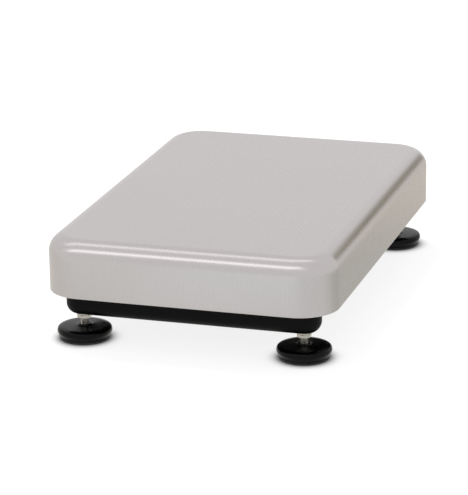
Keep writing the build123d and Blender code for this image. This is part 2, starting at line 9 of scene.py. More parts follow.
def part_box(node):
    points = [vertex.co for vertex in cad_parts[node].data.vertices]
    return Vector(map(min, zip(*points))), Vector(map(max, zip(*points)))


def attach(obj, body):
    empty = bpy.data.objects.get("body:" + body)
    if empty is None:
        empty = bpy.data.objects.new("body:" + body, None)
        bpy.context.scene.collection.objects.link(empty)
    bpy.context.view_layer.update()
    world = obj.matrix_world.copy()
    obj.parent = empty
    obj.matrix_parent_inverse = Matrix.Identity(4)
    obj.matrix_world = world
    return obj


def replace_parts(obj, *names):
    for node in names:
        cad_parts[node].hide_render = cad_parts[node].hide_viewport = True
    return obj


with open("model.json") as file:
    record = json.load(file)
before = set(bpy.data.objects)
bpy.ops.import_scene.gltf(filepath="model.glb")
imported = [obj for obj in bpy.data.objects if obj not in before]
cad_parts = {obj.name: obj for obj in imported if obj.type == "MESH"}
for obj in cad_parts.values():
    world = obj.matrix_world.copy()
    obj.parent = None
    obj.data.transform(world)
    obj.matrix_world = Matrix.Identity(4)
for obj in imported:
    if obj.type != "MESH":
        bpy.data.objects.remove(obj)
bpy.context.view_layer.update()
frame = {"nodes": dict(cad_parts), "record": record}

# Pieces are modelled in millimetres, in the CAD frame, and scaled to metres as they are made.
MM = 0.001
FEET = ("front_left", "front_right", "rear_left", "rear_right")
HEXAGON_POINTS = 72

# Metric screws
M8_RADIUS = 4.0
M8_BORE = 4.05
M8_PITCH = 1.25
M8_THREAD_DEPTH = 0.65
M8_FLATS = 13.0
M8_HEAD_RADIUS = 6.5
M8_HEAD_HEIGHT = 8.0
M8_SOCKET_FLATS = 6.0
M6_RADIUS = 3.0
M6_PITCH = 1.0
M6_THREAD_DEPTH = 0.5
M6_FLATS = 10.0
M6_HEAD_HEIGHT = 4.0
# The level's and the clip's screws
SCREW_RADIUS = 1.5
SCREW_HEAD_RADIUS = 2.8
SCREW_HEAD_HEIGHT = 1.8


def limits_of(node):
    low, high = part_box(node)
    return low / MM, high / MM


def centre_of(node):
    low, high = limits_of(node)
    return (low + high) / 2


def radius_of(node):
    """Half the width of a round node."""
    low, high = limits_of(node)
    return (high.x - low.x) / 2


def corners_of(node, inset):
    """Where the four round solids of a node stand: the corners of its box in plan, set in by their radius."""
    low, high = limits_of(node)
    return [(x, y) for x in (low.x + inset, high.x - inset) for y in (low.y + inset, high.y - inset)]


def at(x, y, z=0.0):
    return Matrix.Translation((x, y, z))


def looking_back(x, z):
    """Local Z to world +Y, for round pieces whose axis runs to the back: their stations are world Y."""
    return Matrix.Translation((x, 0, z)) @ Matrix.Rotation(-pi / 2, 4, "X")


# ---- forms


class Form:
    """Vertices and faces of one piece, gathered from skins of rings."""

    def __init__(self):
        self.points = []
        self.faces = []
        self.uvs = []

    def add(self, points, place=None, uvs=None):
        """Adds points and returns the number of the first."""
        start = len(self.points)
        self.points += [place @ Vector(point) if place else Vector(point) for point in points]
        self.uvs += uvs or [(0.0, 0.0)] * len(points)
        return start

    def skin(self, rings, place=None, uvs=None):
        """Joins each ring of points to the next. A ring of one point closes an end as a fan."""
        starts = [self.add(ring, place, uvs[i] if uvs else None) for i, ring in enumerate(rings)]
        for number in range(len(rings) - 1):
            a, b = starts[number], starts[number + 1]
            count_a, count_b = len(rings[number]), len(rings[number + 1])
            count = max(count_a, count_b)
            for i in range(count):
                j = (i + 1) % count
                if count_a == 1:
                    self.faces.append((a, b + j, b + i))
                elif count_b == 1:
                    self.faces.append((a + i, a + j, b))
                else:
                    self.faces.append((a + i, a + j, b + j, b + i))
        return self


def circle(radius, z, count=HEXAGON_POINTS):
    """A ring about Z, or a single point when the radius is nothing."""
    if radius == 0:
        return [(0.0, 0.0, z)]
    return [(radius * cos(2 * pi * i / count), radius * sin(2 * pi * i / count), z) for i in range(count)]


def rounded(points, steps=5):
    """A profile of (radius, z) points, where a third number rounds that corner by that radius."""
    path = []
    for number, point in enumerate(points):
        if len(point) < 3 or not 0 < number < len(points) - 1:
            path.append((point[0], point[1]))
            continue
        corner = Vector(point[:2])
        before = (Vector(points[number - 1][:2]) - corner).normalized()
        after = (Vector(points[number + 1][:2]) - corner).normalized()
        turn = before.angle(after)
        reach = point[2] / tan(turn / 2)
        middle = corner + (before + after).normalized() * (point[2] / sin(turn / 2))
        start = corner + before * reach - middle
        end = corner + after * reach - middle
        swing = atan2(start.x * end.y - start.y * end.x, start.dot(end))
        for step in range(steps + 1):
            angle = swing * step / steps
            x = middle.x + start.x * cos(angle) - start.y * sin(angle)
            y = middle.y + start.x * sin(angle) + start.y * cos(angle)
            path.append((x, y))
    return path


def lathe(form, profile, place=None, count=64, steps=5, ribs=None):
    """Turns a profile about Z. ribs(angle, radius, z) may change a point's radius."""
    rings = []
    for radius, z in rounded(profile, steps):
        ring = circle(radius, z, count)
        if ribs and len(ring) > 1:
            factors = [ribs(atan2(y, x), radius, z) / radius for x, y, _ in ring]
            ring = [(x * factor, y * factor, z) for (x, y, _), factor in zip(ring, factors)]
        rings.append(ring)
    return form.skin(rings, place)


def hexagon_ring(flats, z, lift=0.0, chamfer_radius=None):
    """A ring on a hexagon. With a chamfer radius, its corners fall away from z at 30 degrees."""
    ring = []
    for i in range(HEXAGON_POINTS):
        angle = 2 * pi * i / HEXAGON_POINTS
        radius = flats / 2 / cos((angle + pi / 6) % (pi / 3) - pi / 6)
        height = z
        if chamfer_radius:
            height += lift * max(0.0, radius - chamfer_radius) * tan(pi / 6)
        ring.append((radius * cos(angle), radius * sin(angle), height))
    return ring


def plan_ring(half_x, half_y, radius, z, arc=20, sides=(10, 14)):
    """Rounded rectangle in plan, anticlockwise, with its outward directions."""
    radius = max(radius, 0.01)
    x, y = half_x - radius, half_y - radius
    corners = [(x, -y, -pi / 2), (x, y, 0.0), (-x, y, pi / 2), (-x, -y, pi)]
    points, outward = [], []
    for number, (cx, cy, start) in enumerate(corners):
        for step in range(arc + 1):
            angle = start + pi / 2 * step / arc
            points.append(Vector((cx + radius * cos(angle), cy + radius * sin(angle), z)))
            outward.append((cos(angle), sin(angle)))
        nx, ny, next_start = corners[(number + 1) % 4]
        angle = start + pi / 2
        begin = points[-1].copy()
        end = Vector((nx + radius * cos(next_start), ny + radius * sin(next_start), z))
        count = sides[(number + 1) % 2]
        for step in range(1, count):
            points.append(begin.lerp(end, step / count))
            outward.append((cos(angle), sin(angle)))
    return points, outward


def screw_thread(form, radius, bottom, top, pitch, depth, place, count=36):
    """External thread: each column of points follows the helix, so that its crests stay crisp."""
    profile = ((0.0, depth), (0.12, depth), (0.46, 0.0), (0.64, 0.0))
    run_out = 0.4 * pitch
    turns = ceil((top - bottom) / pitch) + 2
    columns = []
    for i in range(count):
        angle = 2 * pi * i / count
        column = []
        for turn in range(-1, turns):
            for share, sink in profile:
                z = bottom + pitch * (turn + share + i / count)
                threaded = bottom + run_out < z < top - run_out
                r = radius - (sink if threaded else depth)
                column.append((r * cos(angle), r * sin(angle), min(max(z, bottom), top)))
        columns.append(column)
    starts = [form.add(column, place) for column in columns]
    for i in range(count):
        # The last column meets the first a whole turn further up.
        shift = len(profile) if i == count - 1 else 0
        a, b = starts[i], starts[(i + 1) % count] + shift
        for k in range(len(columns[0]) - 1 - shift):
            form.faces.append((a + k, b + k, b + k + 1, a + k + 1))
    return form


def hex_nut(form, flats, bore, bottom, top, place):
    """Nut with 30 degree chamfers on both faces and a countersunk bore."""
    rim = flats / 2 * 0.955
    lead_in = 0.5
    rings = [
        circle(bore, bottom + lead_in), circle(bore + lead_in, bottom), circle(rim, bottom),
        hexagon_ring(flats, bottom, 1.0, rim), hexagon_ring(flats, top, -1.0, rim),
        circle(rim, top), circle(bore + lead_in, top), circle(bore, top - lead_in),
        circle(bore, bottom + lead_in),
    ]
    return form.skin(rings, place)


def cap_screw(form, place, length):
    """M8 socket head cap screw. z = 0 is under its head, which points along +Z."""
    radius, height, face, ridges = M8_HEAD_RADIUS, M8_HEAD_HEIGHT, M8_HEAD_RADIUS * 0.72, 96

    def knurl(angle, ring_radius, z):
        on_knurl = ring_radius > radius - 0.05 and 0.9 < z < height - 1.2
        return ring_radius - (0.09 if on_knurl and round(angle * ridges / 2 / pi) % 2 else 0.0)

    side = [
        (M8_RADIUS, 0.0), (radius - 0.3, 0.0), (radius, 0.35), (radius, 0.95), (radius, 1.0),
        (radius, height - 1.3), (radius, height - 1.15), (radius, height - 0.6, 0.35),
        (radius - 0.6, height, 0.3), (face, height),
    ]
    lathe(form, side, place, ridges, 3, knurl)
    recess_floor = height / 2
    recess = [
        circle(face, height),
        circle(M8_SOCKET_FLATS / 2 * 1.19, height),
        hexagon_ring(M8_SOCKET_FLATS, height - 0.35),
        hexagon_ring(M8_SOCKET_FLATS, recess_floor),
        circle(M8_SOCKET_FLATS / 2 * 0.8, recess_floor),
        circle(0, recess_floor - 0.9),
    ]
    form.skin(recess, place)
    screw_thread(form, M8_RADIUS, -length, 0.0, M8_PITCH, M8_THREAD_DEPTH, place, 24)
    return form.skin([circle(M8_RADIUS - M8_THREAD_DEPTH, -length, 24), circle(0, -length)], place)


def hex_screw(form, place, bottom, top):
    """M6 hexagon head screw between two heights, its head up."""
    under_head = top - M6_HEAD_HEIGHT
    rim = M6_FLATS / 2 * 0.95
    head = [
        circle(2.4, under_head), circle(rim, under_head),
        hexagon_ring(M6_FLATS, under_head + 0.2), hexagon_ring(M6_FLATS, top, -1.0, rim),
        circle(rim, top), circle(3.2, top), circle(2.9, top - 0.15), circle(0, top - 0.15),
    ]
    form.skin(head, place)
    screw_thread(form, M6_RADIUS, bottom, under_head, M6_PITCH, M6_THREAD_DEPTH, place, 24)
    return form.skin([circle(M6_RADIUS - M6_THREAD_DEPTH, bottom, 24), circle(0, bottom)], place)


def pan_head_screw(form, x, y, bottom, top, head_radius):
    """Small screw between two heights, with a domed head and a cross recess."""
    count, height = 64, SCREW_HEAD_HEIGHT
    place = at(x, y, top - height)

    def cross(reach, z):
        ring = []
        for i in range(count):
            angle = 2 * pi * i / count
            off_arm = abs((angle + pi / 4) % (pi / 2) - pi / 4)
            radius = min(reach, reach * 0.26 / max(sin(off_arm), 0.26))
            ring.append((radius * cos(angle), radius * sin(angle), z))
        return ring

    outline = [(SCREW_RADIUS, 0.0), (head_radius, 0.0), (head_radius, height, 1.0), (1.9, height)]
    rings = [circle(radius, z, count) for radius, z in rounded(outline, 6)]
    rings += [cross(1.65, height - 0.05), cross(1.05, height - 1.1), circle(0, height - 1.3)]
    form.skin(rings, place)
    tip = bottom - (top - height)
    shank = [circle(SCREW_RADIUS, 0.0, 24), circle(SCREW_RADIUS, tip, 24), circle(0, tip)]
    return form.skin(shank, place)


def bead(form, path, radius):
    """Weld bead along a path: a rippled tube, most of it sunk in the seam."""
    count, step_length = 10, 1.6 / 3
    points = []
    for a, b in zip(path, path[1:]):
        a, b = Vector(a), Vector(b)
        steps = max(1, round((b - a).length / step_length))
        points += [a.lerp(b, step / steps) for step in range(steps)]
    points.append(Vector(path[-1]))
    rings = []
    for number, point in enumerate(points):
        ahead = points[min(number + 1, len(points) - 1)]
        behind = points[max(number - 1, 0)]
        along = (ahead - behind).normalized()
        side = along.cross(Vector((0, 0, 1)))
        side = side.normalized() if side.length > 0.01 else Vector((1, 0, 0))
        up = side.cross(along)
        taper = min(1.0, 0.35 + 0.35 * min(number, len(points) - 1 - number))
        r = radius * taper * (1 + 0.12 * sin(number * 2 * pi / 3) + 0.05 * sin(number * 1.7))
        angles = [2 * pi * i / count for i in range(count)]
        rings.append([point + (side * cos(angle) + up * sin(angle)) * r for angle in angles])
    return form.skin([[points[0]]] + rings + [[points[-1]]])


def ring_bead(form, x, y, z, post_radius, radius):
    """Weld bead round the foot of a post."""
    reach, steps = post_radius + 0.3, 40
    angles = [2 * pi * i / steps for i in range(steps + 1)]
    return bead(form, [(x + reach * cos(angle), y + reach * sin(angle), z + 0.3) for angle in angles], radius)


# ---- materials


def shade(base, factor):
    return tuple(channel * factor for channel in base)


class Nodes:
    """A material, with helpers for the nodes that its colours, heights and fades come from."""

    def __init__(self, name):
        self.material = bpy.data.materials.new(name)
        self.material.use_nodes = True
        self.nodes = self.material.node_tree.nodes
        self.links = self.material.node_tree.links

    def add(self, kind, **inputs):
        node = self.nodes.new(kind)
        for name, value in inputs.items():
            node.inputs[name.replace("_", " ")].default_value = value
        return node

    def uv_map(self, name):
        node = self.nodes.new("ShaderNodeUVMap")
        node.uv_map = name
        return node.outputs["UV"]

    def fill(self, sockets, values):
        """Puts a number or a colour on each socket, or links it to another node's output."""
        for socket, value in zip(sockets, values):
            if isinstance(value, float):
                socket.default_value = value
            elif isinstance(value, tuple):
                socket.default_value = (*value, 1.0)
            else:
                self.links.new(value, socket)

    def math(self, operation, *values):
        node = self.nodes.new("ShaderNodeMath")
        node.operation = operation
        self.fill(node.inputs, values)
        return node.outputs["Value"]

    def average(self, first, second, share):
        """A share of the first value and the rest of the second."""
        return self.math("ADD", self.math("MULTIPLY", first, share), self.math("MULTIPLY", second, 1 - share))

    def remap(self, value, low, high, from_low=0.3, from_high=0.7, smooth=False):
        node = self.add("ShaderNodeMapRange", From_Min=from_low, From_Max=from_high, To_Min=low, To_Max=high)
        if smooth:
            node.interpolation_type = "SMOOTHSTEP"
        self.links.new(value, node.inputs["Value"])
        return node.outputs["Result"]

    def blend(self, share, first, second):
        node = self.nodes.new("ShaderNodeMix")
        node.data_type = "RGBA"
        self.fill([socket for socket in node.inputs if socket.type == "RGBA"], (first, second))
        self.links.new(share, node.inputs["Factor"])
        return [socket for socket in node.outputs if socket.type == "RGBA"][0]


class Finish(Nodes):
    """A surface with procedural detail in its colour, roughness and relief."""

    def __init__(self, name, base, roughness, metallic=0.0, specular=0.5, **constants):
        super().__init__(name)
        self.shader = self.nodes["Principled BSDF"]
        self.base = base
        self.set("Base Color", (*base, 1.0))
        self.set("Roughness", roughness)
        self.set("Metallic", metallic)
        self.set("Specular IOR Level", specular)
        for socket, value in constants.items():
            self.set(socket.replace("_", " "), value)

    def set(self, socket, value):
        self.shader.inputs[socket].default_value = value

    def coordinates(self, stretch=(1, 1, 1), sheet=False):
        """The object's own coordinates, or the pan's along its sheet, both in metres."""
        source = self.uv_map("sheet") if sheet else self.nodes.new("ShaderNodeTexCoord").outputs["Object"]
        mapping = self.add("ShaderNodeMapping", Scale=stretch)
        self.links.new(source, mapping.inputs["Vector"])
        return mapping.outputs["Vector"]

    def noise(self, scale, detail=3.0, **where):
        node = self.add("ShaderNodeTexNoise", Scale=scale, Detail=detail, Roughness=0.55)
        self.links.new(self.coordinates(**where), node.inputs["Vector"])
        return node.outputs["Fac"]

    def tint(self, output, low, high):
        """The base colour, between two shades of it as the output rises."""
        return self.blend(self.remap(output, 0.0, 1.0), shade(self.base, low), shade(self.base, high))

    def pointiness(self):
        """High on edges and low in corners."""
        return self.nodes.new("ShaderNodeNewGeometry").outputs["Pointiness"]

    def worn_edges(self, base, bare, low, high):
        return self.blend(self.remap(self.pointiness(), 0.0, 1.0, low, high), base, bare)

    # Painted shade: blends the base towards a darker colour in corners and hollows, where pointiness is low.
    def painted_corner_shade(self, base, corner_shade_colour, share):
        corners = self.remap(self.pointiness(), 1.0, 0.0, 0.40, 0.50)
        return self.blend(self.math("MULTIPLY", corners, share), base, corner_shade_colour)

    def colour(self, output):
        self.links.new(output, self.shader.inputs["Base Color"])

    def rough(self, output, low, high, from_low=0.3, from_high=0.7):
        self.links.new(self.remap(output, low, high, from_low, from_high), self.shader.inputs["Roughness"])

    def bump(self, *heights):
        """Relief from (height output, strength, distance in metres), one on another."""
        normal = None
        for height, strength, distance in heights:
            node = self.add("ShaderNodeBump", Strength=strength, Distance=distance)
            self.links.new(height, node.inputs["Height"])
            if normal:
                self.links.new(normal, node.inputs["Normal"])
            normal = node.outputs["Normal"]
        self.links.new(normal, self.shader.inputs["Normal"])


def make_stainless():
    """Brushed steel, with its grain from the front to the back of the sheet."""
    f = Finish("stainless_pan", (0.54, 0.515, 0.510), 0.27, metallic=1.0, Anisotropic=0.6)
    fine = f.noise(1.0, 2.0, stretch=(4200, 30, 1), sheet=True)
    broad = f.noise(1.0, stretch=(620, 5, 1), sheet=True)
    cloud = f.noise(7.0, 2.0, sheet=True)
    streaks = f.average(fine, broad, 0.6)
    f.colour(f.tint(f.average(streaks, cloud, 0.7), 0.972, 1.028))
    f.rough(streaks, 0.24, 0.34)
    f.bump((fine, 0.25, 0.00001), (broad, 0.2, 0.00002))
    tangent = f.nodes.new("ShaderNodeTangent")
    tangent.direction_type = "UV_MAP"
    tangent.uv_map = "sheet"
    f.links.new(tangent.outputs["Tangent"], f.shader.inputs["Tangent"])
    return f.material


def make_black_paint():
    f = Finish("black_paint", (0.0020, 0.0022, 0.0024), 0.46, specular=0.075)
    mottle = f.noise(60.0)
    specks = f.remap(f.noise(700.0, 2.0), 0.0, 1.0, 0.72, 0.80)
    f.colour(f.blend(specks, f.tint(mottle, 0.85, 1.2), (0.02, 0.02, 0.021)))
    f.rough(mottle, 0.38, 0.50)
    f.bump((f.noise(900.0, 2.0), 0.35, 0.00006))
    return f.material


def make_gloss_pad():
    f = Finish("gloss_pad", (0.0007, 0.0006, 0.0014), 0.16, specular=0.125)
    dust = f.noise(1500.0, 2.0)
    base = f.blend(f.remap(dust, 0.0, 1.0, 0.55, 0.85), f.base, (0.0026, 0.0025, 0.0034))
    f.colour(f.worn_edges(base, (0.012, 0.012, 0.015), 0.58, 0.70))
    f.rough(f.noise(240.0, 4.0, stretch=(1, 1, 6)), 0.13, 0.27)
    f.bump((f.noise(110.0, 2.0), 0.12, 0.0002), (dust, 0.1, 0.00002))
    return f.material


def make_rubber():
    f = Finish("rubber", (0.018, 0.018, 0.019), 0.62, specular=0.25)
    grain = f.noise(1800.0)
    bloom = f.remap(f.noise(70.0, 4.0), 0.0, 1.0, 0.4, 0.75)
    f.colour(f.blend(bloom, shade(f.base, 0.8), (0.034, 0.034, 0.035)))
    f.rough(grain, 0.55, 0.75)
    f.bump((grain, 0.35, 0.00004))
    return f.material


def make_zinc():
    f = Finish("zinc_plated", (0.50, 0.485, 0.44), 0.24, metallic=1.0)
    haze = f.noise(260.0, 4.0)
    # Painted shade: corners and hollows go darker.
    f.colour(f.painted_corner_shade(f.tint(haze, 0.88, 1.06), (0.22, 0.21, 0.20), 0.5))
    f.rough(haze, 0.18, 0.34)
    f.bump((f.noise(2600.0, 2.0), 0.15, 0.00002))
    return f.material


def make_frame_steel():
    """Galvanised tube and plate: spangles under the marks of rolling."""
    f = Finish("frame_steel", (0.42, 0.43, 0.44), 0.38, metallic=1.0)
    spangle = f.add("ShaderNodeTexVoronoi", Scale=260.0)
    f.links.new(f.coordinates(), spangle.inputs["Vector"])
    grey = f.nodes.new("ShaderNodeSeparateColor")
    f.links.new(spangle.outputs["Color"], grey.inputs["Color"])
    roll = f.noise(900.0, stretch=(1, 0.12, 1))
    tone = f.average(grey.outputs["Red"], roll, 0.6)
    f.colour(f.blend(tone, shade(f.base, 0.82), shade(f.base, 1.12)))
    f.rough(tone, 0.30, 0.48, 0.0, 1.0)
    f.bump((roll, 0.12, 0.00003))
    return f.material


def make_black_steel():
    f = Finish("black_steel", (0.025, 0.025, 0.028), 0.36, metallic=0.6)
    oil = f.noise(220.0)
    f.colour(f.worn_edges(f.tint(oil, 0.7, 1.4), (0.16, 0.16, 0.16), 0.56, 0.70))
    f.rough(oil, 0.28, 0.46)
    f.bump((f.noise(2400.0, 2.0), 0.12, 0.00002))
    return f.material


def make_aluminium():
    f = Finish("aluminium", (0.72, 0.73, 0.74), 0.30, metallic=1.0, Anisotropic=0.3)
    mill = f.noise(1.0, 2.0, stretch=(2600, 60, 2600))
    pass_marks = f.noise(1.0, 2.0, stretch=(180, 4, 180))
    tone = f.average(mill, pass_marks, 0.6)
    f.colour(f.tint(tone, 0.9, 1.04))
    f.rough(tone, 0.24, 0.40)
    f.bump((mill, 0.2, 0.00002))
    return f.material


def make_mottled(name, base, roughness, tint, rough, relief, **constants):
    """A plain surface. tint and rough are a noise's scale and range, relief its scale, strength and depth."""
    f = Finish(name, base, roughness, **constants)
    f.colour(f.tint(f.noise(tint[0]), *tint[1:]))
    f.rough(f.noise(rough[0]), *rough[1:])
    f.bump((f.noise(relief[0], 2.0), *relief[1:]))
    return f.material


def make_silicone():
    return make_mottled(
        "silicone", (0.72, 0.72, 0.69), 0.38, (90.0, 0.93, 1.03), (400.0, 0.30, 0.48), (300.0, 0.2, 0.00006),
        specular=0.4, Subsurface_Weight=0.15, Subsurface_Radius=(0.002, 0.002, 0.0018),
    )


def make_lead_jacket():
    return make_mottled(
        "lead_jacket", (0.085, 0.085, 0.09), 0.46, (160.0, 0.85, 1.15), (900.0, 0.40, 0.55),
        (1200.0, 0.2, 0.00003), specular=0.4,
    )


def make_black_plastic():
    f = Finish("black_plastic", (0.016, 0.016, 0.018), 0.45, specular=0.35)
    spark = f.noise(2200.0)
    base = f.tint(f.noise(80.0), 0.85, 1.2)
    f.colour(f.worn_edges(base, (0.045, 0.045, 0.048), 0.57, 0.70))
    f.rough(spark, 0.38, 0.54)
    f.bump((spark, 0.3, 0.00004))
    return f.material


def make_clear_vial():
    f = Finish("clear_vial", (0.97, 0.99, 0.98), 0.03, Transmission_Weight=1.0, IOR=1.49)
    f.rough(f.noise(500.0), 0.01, 0.06)
    f.bump((f.noise(60.0, 2.0), 0.05, 0.0001))
    return f.material


def make_level_fluid():
    f = Finish("level_fluid", (0.62, 0.90, 0.12), 0.02, Transmission_Weight=0.5, IOR=1.40)
    cloud = f.remap(f.noise(200.0), 0.0, 1.0)
    f.colour(f.blend(cloud, (0.55, 0.86, 0.10), (0.68, 0.93, 0.16)))
    f.bump((f.noise(90.0, 1.0), 0.04, 0.0001))
    return f.material


def make_nickel():
    f = Finish("nickel_plated", (0.66, 0.63, 0.58), 0.20, metallic=1.0)
    haze = f.noise(400.0)
    # Painted shade: corners and hollows go darker.
    f.colour(f.painted_corner_shade(f.tint(haze, 0.92, 1.05), (0.25, 0.23, 0.20), 0.4))
    f.rough(haze, 0.15, 0.28)
    f.bump((f.noise(3000.0, 2.0), 0.1, 0.00001))
    return f.material


def make_gold():
    return make_mottled(
        "gold_contacts", (0.95, 0.66, 0.25), 0.22, (2000.0, 0.88, 1.04), (3000.0, 0.16, 0.30),
        (5000.0, 0.1, 0.00001), metallic=1.0,
    )


MATERIALS = {
    "stainless_pan": make_stainless(),
    "black_paint": make_black_paint(),
    "gloss_pad": make_gloss_pad(),
    "rubber": make_rubber(),
    "zinc_plated": make_zinc(),
    "frame_steel": make_frame_steel(),
    "black_steel": make_black_steel(),
    "aluminium": make_aluminium(),
    "silicone": make_silicone(),
    "lead_jacket": make_lead_jacket(),
    "black_plastic": make_black_plastic(),
    "clear_vial": make_clear_vial(),
    "level_fluid": make_level_fluid(),
    "nickel_plated": make_nickel(),
    "gold_contacts": make_gold(),
}
NODE_SLOTS = {part["node"]: part["material_slot"] for part in frame["record"]["subparts"]}
NODE_BODY = {
    node: body for body, nodes in frame["record"]["behaviour"]["bodies"].items() for node in nodes
}


# ---- pieces


def add_to(node, name, form, slot=None, sharp=32.0, weld=0.0):
    """Makes a form into a piece that rides with a CAD node. Edges over sharp degrees stay crisp,
    and points closer than weld are joined."""
    slot = slot or NODE_SLOTS[node]
    mesh = bpy.data.meshes.new(name)
    mesh.from_pydata([point * MM for point in form.points], [], form.faces)
    if any(u or v for u, v in form.uvs):
        layer = mesh.uv_layers.new(name="sheet")
        for loop in mesh.loops:
            layer.data[loop.index].uv = form.uvs[loop.vertex_index]
    work = bmesh.new()
    work.from_mesh(mesh)
    if weld:
        bmesh.ops.remove_doubles(work, verts=work.verts, dist=weld * MM)
        bmesh.ops.dissolve_degenerate(work, edges=work.edges, dist=weld * MM)
    bmesh.ops.recalc_face_normals(work, faces=work.faces)
    work.to_mesh(mesh)
    work.free()
    mesh.polygons.foreach_set("use_smooth", [True] * len(mesh.polygons))
    mesh.set_sharp_from_angle(angle=radians(sharp))
    mesh.materials.append(MATERIALS[slot])
    piece = bpy.data.objects.new(name, mesh)
    bpy.context.collection.objects.link(piece)
    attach(piece, NODE_BODY[node])
    return piece


def stand_for(node, form, **options):
    """A detailed piece in place of a CAD node, on its body and with its slot."""
    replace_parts(add_to(node, node + "_piece", form, **options), node)


def turn_for(node, profile, place, count, steps, **options):
    """The same, turned from one profile."""
    stand_for(node, lathe(Form(), profile, place, count, steps), **options)


PAN_CORNER = 40.0
PAN_BEND = 18.0
PAN_SHEET = 1.5


def make_pan():
    """Drawn sheet: flat top, bend round all four sides, straight skirt and a rolled-over cut edge."""
    low, high = limits_of("platter_pan")
    top, bottom = high.z, low.z
    bend_bottom = top - PAN_BEND
    bend_length = PAN_BEND * pi / 2
    skirt = bend_bottom - bottom
    inner_bend = PAN_BEND - PAN_SHEET
    rim = PAN_SHEET / 2
    # From the top's outside round to its inside: inset, height, and run along the sheet from the bend.
    stations = [(inset, top, PAN_BEND - inset) for inset in (60.0, 45.0, 32.0, 24.0, 19.5)]
    for step in range(25):
        angle = pi / 2 * step / 24
        stations.append((PAN_BEND * (1 - sin(angle)), top - PAN_BEND * (1 - cos(angle)), PAN_BEND * angle))
    for share in (0.06, 0.3, 0.6, 0.9, 0.975):
        stations.append((0.0, bend_bottom - skirt * share, bend_length + skirt * share))
    for step in range(1, 8):
        angle = pi * step / 8
        height = bottom + rim * 0.8 * (1 - sin(angle))
        stations.append((rim * (1 - cos(angle)), height, bend_length + skirt + rim * angle))
    for share in (0.9, 0.6, 0.3, 0.06):
        stations.append((PAN_SHEET, bend_bottom - skirt * share, bend_length + skirt * share))
    for step in range(12, -1, -1):
        angle = pi / 2 * step / 12
        height = bend_bottom + inner_bend * cos(angle)
        stations.append((PAN_BEND - inner_bend * sin(angle), height, PAN_BEND * angle))
    stations += [(inset, top - PAN_SHEET, PAN_BEND - inset) for inset in (19.5, 32.0, 60.0)]
    bend_line, outward = plan_ring(high.x - PAN_BEND, high.y - PAN_BEND, PAN_CORNER - PAN_BEND, 0.0)
    rings, uvs = [], []
    for inset, z, run in stations:
        ring, _ = plan_ring(high.x - inset, high.y - inset, PAN_CORNER - inset, z)
        rings.append(ring)
        if inset > PAN_BEND:
            uvs.append([(p.x * MM, p.y * MM) for p in ring])
        else:
            pairs = zip(bend_line, outward)
            uvs.append([((p.x + away[0] * run) * MM, (p.y + away[1] * run) * MM) for p, away in pairs])
    form = Form().skin(rings, uvs=uvs)
    count = len(rings[0])
    last = len(form.points) - count
    form.faces.append(tuple(range(count)))
    form.faces.append(tuple(reversed(range(last, last + count))))
    stand_for("platter_pan", form, sharp=40.0)


def make_locating_pins():
    low, high = limits_of("platter_locating_pins")
    radius = 3.0
    profile = [
        (0.0, low.z), (radius - 1.0, low.z), (radius, low.z + 1.2, 0.4), (radius, high.z - 0.8, 0.4),
        (radius + 0.9, high.z - 0.35, 0.2), (radius + 0.9, high.z),
    ]
    form = Form()
    for x, y in corners_of("platter_locating_pins", radius):
        lathe(form, profile, at(x, y), 32, 4)
    stand_for("platter_locating_pins", form)


def make_cushions():
    """Rubber cushions with a groove in the top and another round the side."""
    outer, bore, spigot, height = 12.0, 3.5, 6.0, 4.5
    for name in FEET:
        node = f"platter_cushion_{name}"
        low, high = limits_of(node)
        centre = centre_of(node)
        top, seat = high.z, high.z - height
        profile = [
            (bore, top - 0.5), (bore + 0.6, top, 0.3), (outer - 3.2, top), (outer - 2.9, top - 0.5, 0.2),
            (outer - 2.4, top - 0.5, 0.2), (outer - 2.1, top), (outer, top, 0.9), (outer, top - 1.9, 0.2),
            (outer - 0.5, top - 2.25, 0.2), (outer, top - 2.6, 0.2), (outer, seat, 0.5), (spigot, seat),
            (spigot, low.z, 0.5), (bore, low.z, 0.3), (bore, top - 0.5),
        ]
        turn_for(node, profile, at(centre.x, centre.y), 56, 4)


# ---- feet

STUD_HEAD_RADIUS = 7.0
STUD_HEAD_HEIGHT = 4.6
POCKET_RADIUS = 7.2
POCKET_DEPTH = 5.1
PAD_SHOULDER = 10.8


def make_pad(node, place):
    """Round pad: a step at its bottom, a crowned rim, and a hub that the stud turns in."""
    low, high = limits_of(node)
    rim, under, hub = radius_of(node), low.z, high.z
    shoulder, pocket_top = under + PAD_SHOULDER, under + POCKET_DEPTH
    profile = [
        (POCKET_RADIUS, pocket_top), (POCKET_RADIUS, under, 0.3), (rim - 2.6, under),
        (rim - 1.75, under + 0.5, 0.5), (rim - 1.65, under + 1.4, 0.4), (rim - 2.0, under + 1.8, 0.12),
        (rim - 1.7, under + 2.2, 0.12), (rim, shoulder - 4.6, 4.0), (rim - 0.9, shoulder - 0.7, 2.6),
        (rim - 6.0, shoulder + 0.25, 7.0), (9.6, shoulder + 0.75, 1.6), (7.0, shoulder + 1.25, 0.5),
        (6.7, hub, 0.5), (4.5, hub, 0.3), (M8_BORE, hub - 0.5), (M8_BORE, pocket_top),
        (POCKET_RADIUS, pocket_top),
    ]
    turn_for(node, profile, place, 96, 4, sharp=40.0)


def make_sole(node, place):
    """Rubber disc with round grooves underneath."""
    low, high = limits_of(node)
    edge = radius_of(node)
    groove_top = low.z + 0.5
    profile = [(0.0, groove_top), (4.0, groove_top)]
    tread = 5.0
    while tread < edge - 2.5:
        profile += [(tread, low.z, 0.15), (tread + 1.8, low.z, 0.15)]
        profile += [(tread + 2.1, groove_top, 0.1), (tread + 2.9, groove_top, 0.1)]
        tread += 3.2
    profile += [
        (tread, low.z, 0.15), (edge - 0.4, low.z, 0.35), (edge, low.z + 0.7, 0.4), (edge, high.z, 0.4),
        (0.0, high.z),
    ]
    turn_for(node, profile, place, 72, 3, sharp=40.0)


